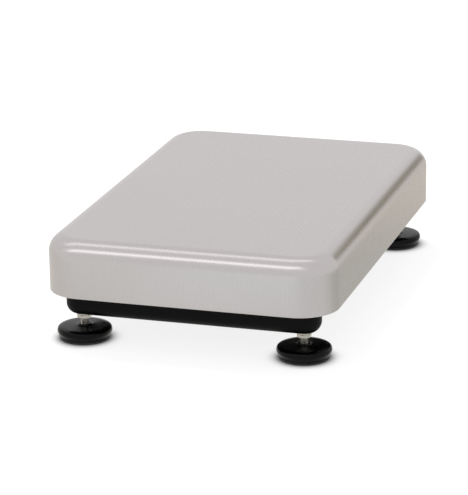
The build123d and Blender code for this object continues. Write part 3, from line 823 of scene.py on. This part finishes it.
def make_stud(node, place):
    """Threaded stud with a round head that the pad and the sole hold between them."""
    low, high = limits_of(node)
    core, head_top, tip = M8_RADIUS - M8_THREAD_DEPTH, low.z + STUD_HEAD_HEIGHT, high.z - 1.0
    head = [
        (0.0, low.z), (6.4, low.z, 0.3), (STUD_HEAD_RADIUS, low.z + 0.7, 0.4),
        (STUD_HEAD_RADIUS, head_top, 0.6), (M8_RADIUS, head_top), (3.95, low.z + 9.0), (core, low.z + 9.8),
    ]
    form = lathe(Form(), head, place, 48, 4)
    screw_thread(form, M8_RADIUS, low.z + 9.7, tip, M8_PITCH, M8_THREAD_DEPTH, place)
    form.skin([circle(core, tip, 36), circle(2.6, high.z, 36), circle(0, high.z)], place)
    stand_for(node, form, sharp=28.0, weld=0.001)


def make_washer(node, place):
    low, high = limits_of(node)
    outer, bore = radius_of(node), 4.2
    profile = [
        (bore, low.z + 0.1), (bore + 0.1, low.z, 0.05), (outer - 0.1, low.z, 0.35),
        (outer, low.z + 0.4, 0.3), (outer, high.z, 0.25), (bore, high.z), (bore, low.z + 0.1),
    ]
    turn_for(node, profile, place, 56, 3)


def make_feet():
    for name in FEET:
        centre = centre_of(f"foot_pad_{name}")
        place = at(centre.x, centre.y)
        make_pad(f"foot_pad_{name}", place)
        make_sole(f"foot_sole_{name}", place)
        make_stud(f"foot_stud_{name}", place)
        nut = f"foot_lock_nut_{name}"
        low, high = limits_of(nut)
        stand_for(nut, hex_nut(Form(), M8_FLATS, M8_BORE, low.z, high.z, place), sharp=22.0)
        make_washer(f"foot_washer_{name}", place)


def make_bosses():
    low, high = limits_of("foot_bosses")
    radius = 6.5
    profile = [
        (M8_BORE, low.z), (M8_BORE, high.z - 0.5), (4.6, high.z), (radius, high.z, 0.6), (radius, low.z),
        (M8_BORE, low.z),
    ]
    bosses, welds = Form(), Form()
    for x, y in corners_of("foot_bosses", radius):
        lathe(bosses, profile, at(x, y), 48, 3)
        ring_bead(welds, x, y, low.z, radius, 1.5)
    stand_for("foot_bosses", bosses)
    add_to("base_tray", "foot_boss_welds", welds, "black_paint")


# ---- screws and overload stops


def make_cell_screws():
    """Two screws down into the load cell's loaded end, and two up into its fixed end."""
    for node, head_up in (("load_cell_upper_screws", True), ("load_cell_lower_screws", False)):
        low, high = limits_of(node)
        form = Form()
        for y in (low.y + M8_HEAD_RADIUS, high.y - M8_HEAD_RADIUS):
            if head_up:
                place = at(0, y, high.z - M8_HEAD_HEIGHT)
            else:
                place = at(0, y, low.z + M8_HEAD_HEIGHT) @ Matrix.Rotation(pi, 4, "X")
            cap_screw(form, place, high.z - low.z - M8_HEAD_HEIGHT)
        stand_for(node, form, weld=0.001)


def make_overload_stops():
    """Pillars on the tray's floor, each with an adjusting screw and its lock nut."""
    nut_low, nut_high = limits_of("overload_stop_nuts")
    screw_low, screw_high = limits_of("overload_stop_screws")
    low, high = limits_of("overload_stop_pillars")
    radius, bore = 7.0, M6_RADIUS + 0.05
    profile = [
        (0.0, low.z), (radius, low.z), (radius, high.z - 1.0), (radius - 1.0, high.z), (bore, high.z),
        (bore, high.z - 14.0), (0.0, high.z - 15.5),
    ]
    pillars, nuts, screws, welds = Form(), Form(), Form(), Form()
    for x, y in corners_of("overload_stop_pillars", radius):
        place = at(x, y)
        lathe(pillars, profile, place, 48, 3)
        ring_bead(welds, x, y, low.z, radius, 1.6)
        hex_nut(nuts, M6_FLATS, M6_RADIUS, nut_low.z, nut_high.z, place)
        hex_screw(screws, place, screw_low.z, screw_high.z)
    stand_for("overload_stop_pillars", pillars)
    stand_for("overload_stop_nuts", nuts, sharp=22.0)
    stand_for("overload_stop_screws", screws, sharp=22.0, weld=0.001)
    add_to("base_tray", "stop_pillar_welds", welds, "black_paint")


# ---- load cell, its lead and seals


def make_gauge_seals():
    """Domed silicone, one patch on the left side of the load cell and one on the right."""
    low, high = limits_of("load_cell_gauge_seals")
    cell_low, cell_high = limits_of("load_cell")
    half_y, half_z = (high.y - low.y) / 2, (high.z - low.z) / 2
    centre_y, centre_z = (high.y + low.y) / 2, (high.z + low.z) / 2
    dome = ((0.0, 0.0), (0.15, 0.45), (0.6, 0.72), (1.6, 0.86), (4.0, 0.95), (8.0, 1.0), (13.0, 1.0))
    form = Form()
    for side, face, edge in ((1, cell_high.x, high.x), (-1, cell_low.x, low.x)):
        height = abs(edge - face)
        rings = []
        for inset, lift in dome:
            corner = max(3.5 - inset * 0.2, 0.5)
            points, _ = plan_ring(half_y - inset, half_z - inset, corner, 0.0, 8, (6, 8))
            rings.append([(face + side * height * lift, centre_y + p.x, centre_z + p.y) for p in points])
        rings.append([(face + side * height, centre_y, centre_z)])
        form.skin(rings)
    stand_for("load_cell_gauge_seals", form, sharp=60.0)


LEAD_RADIUS = 2.5
LEAD_ROUTE = (
    (0, 75, 50), (0, 101, 50), (-7, 123, 38), (-25, 143, 32), (-49, 155, 32), (-66, 169, 40), (-70, 191, 45),
)


def make_lead():
    """The load cell's lead: one smooth curve, held at both ends and by its clip."""
    curve = bpy.data.curves.new("load_cell_lead_piece", "CURVE")
    curve.dimensions = "3D"
    curve.bevel_depth = LEAD_RADIUS * MM
    curve.bevel_resolution = 6
    curve.resolution_u = 12
    curve.use_fill_caps = True
    spline = curve.splines.new("NURBS")
    spline.points.add(len(LEAD_ROUTE) - 1)
    for point, place in zip(spline.points, LEAD_ROUTE):
        point.co = (*[value * MM for value in place], 1.0)
    spline.order_u = 3
    spline.use_endpoint_u = True
    curve.materials.append(MATERIALS["lead_jacket"])
    piece = bpy.data.objects.new("load_cell_lead_piece", curve)
    bpy.context.collection.objects.link(piece)
    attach(piece, NODE_BODY["load_cell_lead"])
    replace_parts(piece, "load_cell_lead")


def make_lead_outlet():
    """Ribbed sleeve round the lead at the load cell's fixed end."""
    node = "load_cell_lead_outlet"
    low, high = limits_of(node)
    centre, outer, bore = centre_of(node), radius_of(node), LEAD_RADIUS
    station = low.y + 1.6
    profile = [(bore, low.y), (outer, low.y), (outer, station, 0.3)]
    while station < high.y - 1.6:
        profile += [(outer - 0.6, station + 0.3, 0.15), (outer - 0.6, station + 0.8, 0.15)]
        profile += [(outer - 0.15, station + 1.0, 0.2), (outer - 0.15, station + 1.4, 0.2)]
        station += 1.5
    profile += [(outer - 0.8, high.y, 0.3), (bore, high.y), (bore, low.y)]
    turn_for(node, profile, looking_back(centre.x, centre.z), 40, 3)


def make_small_screws():
    low, high = limits_of("level_screws")
    form = Form()
    for x in (low.x + SCREW_HEAD_RADIUS, high.x - SCREW_HEAD_RADIUS):
        pan_head_screw(form, x, (low.y + high.y) / 2, low.z, high.z, SCREW_HEAD_RADIUS)
    stand_for("level_screws", form, sharp=40.0)
    low, high = limits_of("lead_clip_screw")
    centre = centre_of("lead_clip_screw")
    form = pan_head_screw(Form(), centre.x, centre.y, low.z, high.z, radius_of("lead_clip_screw"))
    stand_for("lead_clip_screw", form, sharp=40.0)


# ---- bubble level

LEVEL_RADIUS = 13.0
LEVEL_EAR_HEIGHT = 3.0
LIQUID_CLEARANCE = 0.03
BUBBLE_RADIUS = 2.4
BUBBLE_RISE = 0.6


def make_level_housing(x, y):
    """Round cup for the vial, with an ear for a screw on each side."""
    low, high = limits_of("level_housing")
    screw_low, screw_high = limits_of("level_screws")
    seat, floor = radius_of("level_vial"), limits_of("level_vial")[0].z
    cup = [
        (0.0, low.z), (LEVEL_RADIUS - 0.3, low.z, 0.3), (LEVEL_RADIUS, low.z + 1.2, 0.3),
        (LEVEL_RADIUS, high.z - 1.8, 0.4), (LEVEL_RADIUS - 1.4, high.z, 0.5), (seat + 1.6, high.z, 0.4),
        (seat + 0.05, high.z - 0.8, 0.3), (seat + 0.05, floor), (0.0, floor),
    ]
    form = lathe(Form(), cup, at(x, y), 72, 4)
    left, right = screw_low.x + SCREW_HEAD_RADIUS, screw_high.x - SCREW_HEAD_RADIUS
    ear_top = low.z + LEVEL_EAR_HEIGHT
    for ear_x, reach in ((left, left - low.x), (right, high.x - right)):
        ear = [
            (SCREW_RADIUS, low.z), (reach - 0.2, low.z, 0.2), (reach, low.z + 0.6, 0.3),
            (reach, ear_top, 0.5), (SCREW_RADIUS, ear_top), (SCREW_RADIUS, low.z),
        ]
        lathe(form, ear, at(ear_x, y), 48, 3)
    stand_for("level_housing", form, sharp=35.0)


def make_level():
    """Housing, vial and liquid, with the bubble as a hollow under the vial's lid."""
    low, high = limits_of("level_vial")
    centre, edge = centre_of("level_vial"), radius_of("level_vial")
    place = at(centre.x, centre.y)
    make_level_housing(centre.x, centre.y)
    vial = [(0.0, low.z), (edge, low.z, 0.4), (edge, high.z, 0.8), (edge * 0.6, high.z), (0.0, high.z)]
    turn_for("level_vial", vial, place, 64, 4, sharp=40.0)
    liquid_low, liquid_high = limits_of("level_liquid")
    edge = radius_of("level_liquid") - LIQUID_CLEARANCE
    floor, lid = liquid_low.z + LIQUID_CLEARANCE, liquid_high.z - LIQUID_CLEARANCE
    liquid = [(0.0, floor), (edge, floor, 0.4), (edge, lid, 0.4)]
    start = asin(BUBBLE_RISE / BUBBLE_RADIUS)
    for step in range(13):
        angle = start + (pi / 2 - start) * step / 12
        liquid.append((BUBBLE_RADIUS * cos(angle), lid + BUBBLE_RISE - BUBBLE_RADIUS * sin(angle)))
    turn_for("level_liquid", liquid, place, 64, 4, sharp=30.0)
    inner, outer, bottom, top = 3.3, 3.7, high.z - 0.06, high.z - 0.02
    mark = [(inner, bottom), (inner, top), (outer, top), (outer, bottom), (inner, bottom)]
    add_to("level_vial", "level_circle", lathe(Form(), mark, place), "black_plastic")


# ---- socket

SOCKET_RADIUS = 4.0
SOCKET_PITCH = 1.0
SOCKET_THREAD_DEPTH = 0.55
SOCKET_FLANGE = 2.0
SOCKET_SHANK = 4.5
SOCKET_NUT_FLATS = 12.0


def make_socket_body(place):
    """Knurled flange against the tray's rear wall, with the plug's thread behind it."""
    low, high = limits_of("socket_body")
    flange = radius_of("socket_body")
    wall = limits_of("socket_gasket")[1].y
    insert_start = limits_of("socket_insert")[0].y
    nose_start, nose_end, ridges = wall + SOCKET_FLANGE, high.y, 72

    def knurl(angle, radius, z):
        on_rim = radius > flange - 0.05 and wall + 0.4 < z < nose_start - 0.4
        return radius - (0.12 if on_rim and round(angle * ridges / 2 / pi) % 2 else 0.0)

    shank = [
        (0.0, low.y), (SOCKET_SHANK, low.y, 0.3), (SOCKET_SHANK, wall), (flange - 0.25, wall),
        (flange, wall + 0.3), (flange, wall + 0.45), (flange, nose_start - 0.45), (flange, nose_start - 0.3),
        (flange - 0.3, nose_start), (3.35, nose_start), (3.35, nose_start + 0.5),
    ]
    form = lathe(Form(), shank, place, ridges, 3, knurl)
    start, end = nose_start + 0.4, nose_end - 0.5
    screw_thread(form, SOCKET_RADIUS, start, end, SOCKET_PITCH, SOCKET_THREAD_DEPTH, place)
    mouth = [
        (SOCKET_RADIUS - SOCKET_THREAD_DEPTH, end), (3.55, nose_end, 0.12), (3.05, nose_end, 0.12),
        (3.0, nose_end - 0.3), (3.0, insert_start), (0.0, insert_start),
    ]
    lathe(form, mouth, place, 36, 3)
    stand_for("socket_body", form, weld=0.001)


def make_socket_gasket(place):
    low, high = limits_of("socket_gasket")
    outer, bore = radius_of("socket_body") - 0.15, SOCKET_SHANK + 0.1
    profile = [(bore, low.y), (outer, low.y, 0.15), (outer, high.y, 0.15), (bore, high.y), (bore, low.y)]
    turn_for("socket_gasket", profile, place, 56, 3)


def make_socket_insert(place, centre):
    """Insert with a ring pressed into its face and a key above the contacts."""
    low, high = limits_of("socket_insert")
    radius, key_radius, key_offset, key_end = 2.98, 0.42, 2.55, high.y + 3.0
    face = [
        (0.0, low.y), (radius, low.y), (radius, high.y, 0.2), (2.4, high.y), (2.35, high.y - 0.2),
        (2.15, high.y - 0.2), (2.1, high.y), (0.0, high.y),
    ]
    form = lathe(Form(), face, place, 48, 3)
    key = [(0.0, high.y - 0.3), (key_radius, high.y - 0.3), (key_radius, key_end, 0.1), (0.0, key_end)]
    lathe(form, key, looking_back(centre.x, centre.z + key_offset), 16, 2)
    stand_for("socket_insert", form)


def make_socket_pins(centre):
    low, high = limits_of("socket_pins")
    radius = 0.4
    reach = radius_of("socket_pins") - radius
    pin = [(0.0, low.y), (radius, low.y), (radius, high.y - 0.5, 0.2), (0.15, high.y, 0.1), (0.0, high.y)]
    form = Form()
    for quarter in range(4):
        angle = pi / 2 * quarter
        place = looking_back(centre.x + reach * sin(angle), centre.z + reach * cos(angle))
        lathe(form, pin, place, 20, 3)
    stand_for("socket_pins", form)


def make_socket_boot(place):
    """Ribbed rubber boot that widens from the lead to the socket."""
    low, high = limits_of("socket_boot")
    profile = [(LEAD_RADIUS - 0.05, low.y), (3.2, low.y, 0.2), (3.45, low.y + 0.5, 0.2)]
    station = low.y + 0.9
    while station < high.y - 2.6:
        share = (station - low.y) / (high.y - low.y)
        radius = 3.4 + 1.05 * share
        profile += [(radius - 0.5, station + 0.1, 0.15), (radius - 0.5, station + 0.6, 0.15)]
        profile += [(radius, station + 0.8, 0.15), (radius + 0.05, station + 1.4, 0.15)]
        station += 1.6
    profile += [(4.35, high.y - 1.6, 0.3), (4.45, high.y, 0.3), (0.0, high.y)]
    turn_for("socket_boot", profile, place, 48, 3)


def make_socket():
    centre = centre_of("socket_gasket")
    place = looking_back(centre.x, centre.z)
    make_socket_body(place)
    make_socket_gasket(place)
    make_socket_insert(place, centre)
    make_socket_pins(centre)
    low, high = limits_of("socket_lock_nut")
    nut = hex_nut(Form(), SOCKET_NUT_FLATS, SOCKET_SHANK, low.y, high.y, place)
    stand_for("socket_lock_nut", nut, sharp=22.0)
    make_socket_boot(place)


# ---- CAD nodes that are kept, and welds

ARM_WIDTH = 25.0


def finish_cad_nodes():
    for name, node in frame["nodes"].items():
        node.data.materials.clear()
        node.data.materials.append(MATERIALS[NODE_SLOTS[name]])


def make_frame_welds():
    """Beads where the cross arms meet the rails and the centre plate, and on the load cell's base plate."""
    low, high = limits_of("frame_cross_arms")
    plate_low, plate_high = limits_of("frame_centre_plate")
    arm_middles = (low.y + ARM_WIDTH / 2, high.y - ARM_WIDTH / 2)
    welds = Form()
    for x in (low.x, high.x):
        for y in (low.y, low.y + ARM_WIDTH, high.y - ARM_WIDTH, high.y):
            bead(welds, [(x, y, low.z + 2), (x, y, high.z - 2)], 1.3)
        for y in arm_middles:
            bead(welds, [(x, y - 9, high.z - 0.5), (x, y + 9, high.z - 0.5)], 1.2)
    for x in (plate_low.x, plate_high.x):
        for y in arm_middles:
            bead(welds, [(x, y - 8, plate_high.z), (x, y + 8, plate_high.z)], 1.4)
    add_to("frame_side_rails", "frame_welds", welds)
    low, high = limits_of("load_cell_base_plate")
    welds = Form()
    for x in (low.x + 22, high.x - 22):
        for y in (low.y, high.y):
            bead(welds, [(x - 14, y, low.z + 0.8), (x + 14, y, low.z + 0.8)], 1.6)
    add_to("load_cell_base_plate", "cell_plate_welds", welds)


# ---- stage, lights and camera

STUDIO_WHITE = (0.93, 0.925, 0.925)
LIGHTS_AIM = (0, 0, 0.1)


def stage_plane(name, centre, across, up, material):
    """A staged rectangle about a centre, with half sides across and up."""
    centre, across, up = Vector(centre), Vector(across), Vector(up)
    corners = [centre - across - up, centre + across - up, centre + across + up, centre - across + up]
    mesh = bpy.data.meshes.new(name)
    mesh.from_pydata(corners, [], [(0, 1, 2, 3)])
    layer = mesh.uv_layers.new(name="card")
    for loop, corner in zip(layer.data, ((0, 0), (1, 0), (1, 1), (0, 1))):
        loop.uv = corner
    mesh.materials.append(material)
    plane = bpy.data.objects.new(name, mesh)
    bpy.context.collection.objects.link(plane)
    return plane


def make_floor():
    """Paper that glows a little, less in the few millimetres round whatever stands on it: that dimmer glow is
    a painted contact shadow.
    """
    f = Finish("floor_paper", (0.20, 0.20, 0.20), 0.9, specular=0.05)
    f.colour(f.tint(f.noise(3.0), 0.975, 1.025))
    f.bump((f.noise(900.0, 2.0), 0.05, 0.00005))
    open_air = f.add("ShaderNodeAmbientOcclusion", Distance=0.026)
    open_air.samples = 16
    f.set("Emission Color", (1.0, 1.0, 1.0, 1.0))
    # Painted contact shadow: the glow is weaker where ambient occlusion finds something close.
    glow_with_painted_shadow = f.remap(open_air.outputs["AO"], 0.10, 0.84, 0.45, 0.90)
    f.links.new(glow_with_painted_shadow, f.shader.inputs["Emission Strength"])
    stage_plane("floor", (0, 0, -0.0001), (8, 0, 0), (0, 8, 0), f.material)


class Card(Nodes):
    """A glowing rectangle that only reflections see, and whose colour may vary over it."""

    def __init__(self, name):
        super().__init__(name)
        self.name = name
        self.nodes.remove(self.nodes["Principled BSDF"])
        self.light = self.add("ShaderNodeEmission", Strength=1.0)
        self.links.new(self.light.outputs["Emission"], self.nodes["Material Output"].inputs["Surface"])
        split = self.nodes.new("ShaderNodeSeparateXYZ")
        self.links.new(self.uv_map("card"), split.inputs["Vector"])
        self.across, self.along = split.outputs["X"], split.outputs["Y"]

    def colour(self, share, first, second):
        self.links.new(self.blend(share, first, second), self.light.inputs["Color"])

    def put(self, centre, across, up):
        plane = stage_plane(self.name, centre, across, up, self.material)
        for ray in ("camera", "diffuse", "shadow", "transmission", "volume_scatter"):
            setattr(plane, "visible_" + ray, False)


def make_dark_card():
    """Dark card behind the object, a little to the right, that fades to the studio's white at its edges."""
    aim, distance, half_side, solid_share = Vector((0.05, 0.0, 0.1)), 2.0, 0.46, 0.3
    bearing, elevation = radians(22), radians(12)
    out = Vector((sin(bearing) * cos(elevation), cos(bearing) * cos(elevation), sin(elevation)))
    across = Vector((cos(bearing), -sin(bearing), 0))
    card = Card("dark_card")
    shares = []
    for position in (card.across, card.along):
        off_middle = card.math("ABSOLUTE", card.math("SUBTRACT", position, 0.5))
        shares.append(card.remap(off_middle, 1.0, 0.0, solid_share / 2, 0.5, smooth=True))
    card.colour(card.math("MULTIPLY", *shares), STUDIO_WHITE, (0.24, 0.215, 0.13))
    card.put(aim + out * distance, across * half_side, across.cross(out) * half_side)


def floor_card(name, x_range, y_range, height, tones, from_share, to_share):
    """What the steel sees of the floor: a card a millimetre or so above it.
    Its colour goes from one tone to the other along +Y, between two shares of its length."""
    (x0, x1), (y0, y1) = x_range, y_range
    card = Card(name)
    card.colour(card.remap(card.along, 0.0, 1.0, from_share, to_share, smooth=True), *tones)
    centre = ((x0 + x1) / 2, (y0 + y1) / 2, height * MM)
    card.put(centre, ((x1 - x0) / 2, 0, 0), (0, (y1 - y0) / 2, 0))


# Tones of the floor as the steel sees it, from the front to the back of each card.
WHOLE_FLOOR_TONES = ((0.90, 0.875, 0.84), (0.86, 0.82, 0.77))
FRONT_LEFT_TONES = ((0.95, 0.96, 0.95), (0.88, 0.87, 0.84))
FRONT_TONES = ((1.03, 1.06, 1.07), (0.93, 0.93, 0.92))
FRONT_RIGHT_TONES = ((0.90, 0.92, 0.92), (0.83, 0.84, 0.83))
SIDE_TONES = ((0.84, 0.86, 0.85), (0.83, 0.80, 0.76))
FAR_SIDE_TONES = ((0.585, 0.575, 0.53), (0.78, 0.73, 0.66))
# Narrow cards lead from the front's tones to the right's, round the pan's front right corner.
CORNER_CARDS = 10
CORNER_START = 0.05
CORNER_END = 0.23


def mix_tones(first, second, share):
    return tuple(a + (b - a) * share for a, b in zip(first, second))


def front_card(name, x_range, tones):
    floor_card(name, x_range, (-4.0, -0.26), 0.8, tones, 0.94, 0.985)


def make_floor_cards():
    floor_card("whole_floor_card", (-4.0, 4.0), (-4.0, 4.0), 0.4, WHOLE_FLOOR_TONES, 0.4, 0.7)
    front_card("front_left_floor_card", (-3.0, -0.12), FRONT_LEFT_TONES)
    front_card("front_floor_card", (-0.12, CORNER_START), FRONT_TONES)
    width = CORNER_END - CORNER_START
    edges = [CORNER_START + width * step / CORNER_CARDS for step in range(CORNER_CARDS + 1)]
    for step, x_range in enumerate(zip(edges, edges[1:])):
        share = (step + 0.5) / CORNER_CARDS
        tones = [mix_tones(a, b, share) for a, b in zip(FRONT_TONES, FRONT_RIGHT_TONES)]
        front_card(f"corner_floor_card_{step + 1}", x_range, tones)
    front_card("front_right_floor_card", (CORNER_END, 1.6), FRONT_RIGHT_TONES)
    floor_card("side_floor_card", (0.165, 3.0), (-0.26, 4.0), 0.8, SIDE_TONES, 0.02, 0.3)
    fade = (SIDE_TONES[0], FAR_SIDE_TONES[0])
    floor_card("side_fade_floor_card", (0.165, 0.5), (-0.255, -0.02), 1.6, fade, 0.0, 1.0)
    floor_card("far_side_floor_card", (0.165, 0.5), (-0.02, 3.0), 1.6, FAR_SIDE_TONES, 0.036, 0.175)


def area_light(name, place, aim, size_x, size_y, power, turn=0.0, gloss=True, diffuse=True):
    """A rectangular light. Its long side follows a bearing, turn degrees from +X."""
    data = bpy.data.lights.new(name, "AREA")
    data.shape = "RECTANGLE"
    data.size = size_x
    data.size_y = size_y
    data.energy = power
    light = bpy.data.objects.new(name, data)
    light.location = place
    back = (Vector(place) - Vector(aim)).normalized()
    across = Vector((cos(radians(turn)), sin(radians(turn)), 0))
    across = (across - back * across.dot(back)).normalized()
    light.rotation_euler = Matrix((across, back.cross(across), back)).transposed().to_euler()
    light.visible_camera = False
    light.visible_glossy = gloss
    light.visible_diffuse = diffuse
    bpy.context.collection.objects.link(light)


def make_world():
    world = bpy.data.worlds.new("studio")
    world.use_nodes = True
    background = world.node_tree.nodes["Background"]
    background.inputs["Color"].default_value = (*STUDIO_WHITE, 1.0)
    background.inputs["Strength"].default_value = 1.0
    bpy.context.scene.world = world


CAMERA_BEARING = radians(17.1111)
CAMERA_ELEVATION = radians(17.8361)
CAMERA_ROLL = radians(0.7775)
CAMERA_DISTANCE = 2.8070
CAMERA_LENS_MM = 192.734545
CAMERA_SHIFT = (-0.00820202, -0.00028283)
# Its line of sight passes the object's axis at a height, moved right and up as the camera sees them.
AIM_HEIGHT = 0.052
AIM_RIGHT = -0.00996
AIM_UP = -0.00639


def make_camera():
    bearing, elevation, roll = CAMERA_BEARING, CAMERA_ELEVATION, CAMERA_ROLL
    back = Vector((sin(bearing) * cos(elevation), -cos(bearing) * cos(elevation), sin(elevation)))
    right = Vector((cos(bearing), sin(bearing), 0))
    up = back.cross(right)
    place = right * AIM_RIGHT + up * AIM_UP + back * CAMERA_DISTANCE + Vector((0, 0, AIM_HEIGHT))
    axes = (right * cos(roll) - up * sin(roll), right * sin(roll) + up * cos(roll), back)
    data = bpy.data.cameras.new("camera")
    data.sensor_width = 36.0
    data.lens = CAMERA_LENS_MM
    data.shift_x, data.shift_y = CAMERA_SHIFT
    data.clip_start, data.clip_end = 0.05, 60.0
    camera = bpy.data.objects.new("camera", data)
    camera.matrix_world = Matrix.Translation(place) @ Matrix(axes).transposed().to_4x4()
    bpy.context.collection.objects.link(camera)
    bpy.context.scene.camera = camera


finish_cad_nodes()
make_pan()
make_locating_pins()
make_cushions()
make_feet()
make_bosses()
make_cell_screws()
make_overload_stops()
make_gauge_seals()
make_lead()
make_lead_outlet()
make_small_screws()
make_level()
make_socket()
make_frame_welds()

make_floor()
make_world()
area_light("overhead_strip", (-0.46, 0.10, 1.88), LIGHTS_AIM, 2.2, 0.42, 2.3, turn=18.0, diffuse=False)
area_light("front_strip", (-0.47, -1.44, 1.56), LIGHTS_AIM, 2.2, 0.46, 3.6, turn=14.0, diffuse=False)
area_light("ceiling_softbox", (-0.76, 0.67, 2.5), (0, 0, 0), 0.7, 0.7, 46.0, gloss=False)
make_dark_card()
make_floor_cards()
make_camera()
bpy.context.scene.view_settings.view_transform = "Standard"
